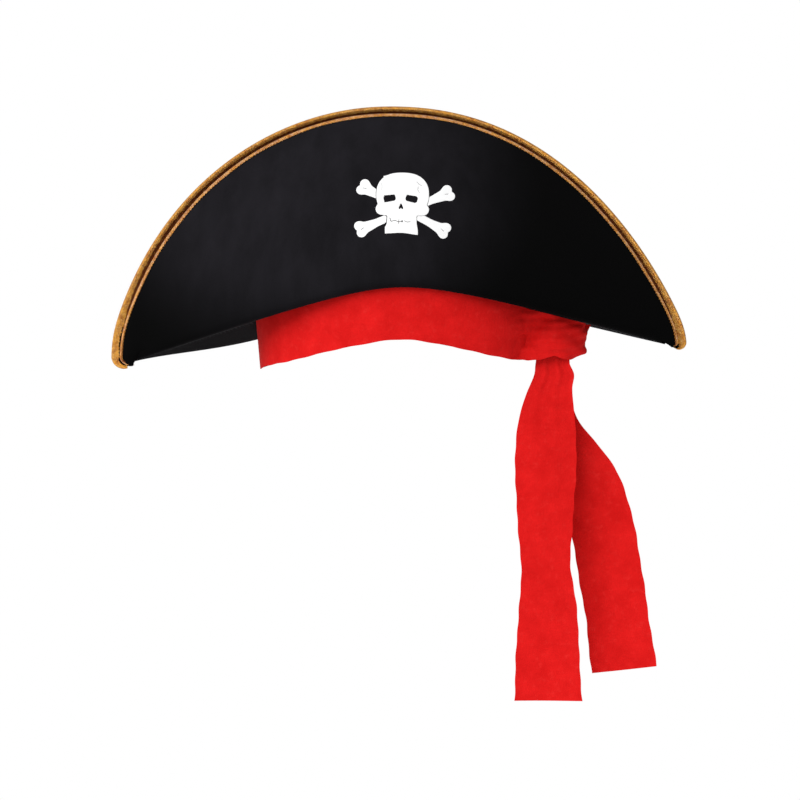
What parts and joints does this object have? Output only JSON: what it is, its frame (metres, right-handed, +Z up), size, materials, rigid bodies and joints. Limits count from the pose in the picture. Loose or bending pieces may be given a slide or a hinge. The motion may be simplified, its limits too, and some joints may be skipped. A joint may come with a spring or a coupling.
{
  "type": "pirate hat",
  "caption": "Two-horned black felt hat with a gold edge, a white skull and crossbones, and a red sash knotted at one side with two hanging tails.",
  "frame": {"origin": "centre of the head opening, at the height of its lowest edge", "axes": "+X towards the knot side, -Y towards the front with the print, +Z up; the head goes in from -Z"},
  "size_m": [0.4609, 0.1606, 0.478],
  "materials": {
    "black_velour": "short matt pile",
    "crown_felt": "matt",
    "gold_tape": "metallic weave",
    "lining": "satin",
    "label_satin": "satin",
    "white_transfer": "matt print",
    "red_nonwoven": "matt bonded fibre",
    "black_thread": "matt"
  },
  "bodies": {
    "hat": {"front_flap": "black_velour", "back_flap": "black_velour", "front_binding": "gold_tape", "back_binding": "gold_tape", "crown_front": "crown_felt", "crown_back": "crown_felt", "crown_top": "crown_felt", "sweatband": "lining", "care_label": "label_satin", "skull_transfer": "white_transfer", "bones_transfer": "white_transfer", "horn_tacks": "black_thread", "brim_tacks": "black_thread", "label_stitches": "black_thread", "sash_band": "red_nonwoven", "sash_knot": "red_nonwoven"},
    "front_neck": {"front_neck": "red_nonwoven"},
    "front_tail": {"front_tail": "red_nonwoven"},
    "rear_neck": {"rear_neck": "red_nonwoven"},
    "rear_tail": {"rear_tail": "red_nonwoven"}
  },
  "joints": [
    {"name": "front_tail_sway", "type": "hinge", "parent": "hat", "child": "front_neck", "pos_m": [0.12, -0.028, 0.004], "axis": [0, 1, 0], "range_deg": [-30, 20]},
    {"name": "front_tail_swing", "type": "hinge", "parent": "front_neck", "child": "front_tail", "pos_m": [0.119, -0.028, -0.024], "axis": [1, 0, 0], "range_deg": [-75, 0]},
    {"name": "rear_tail_sway", "type": "hinge", "parent": "hat", "child": "rear_neck", "pos_m": [0.128, -0.008, 0.004], "axis": [0, 1, 0], "range_deg": [-20, 25]},
    {"name": "rear_tail_swing", "type": "hinge", "parent": "rear_neck", "child": "rear_tail", "pos_m": [0.126, -0.008, -0.024], "axis": [1, 0, 0], "range_deg": [0, 75]}
  ]
}
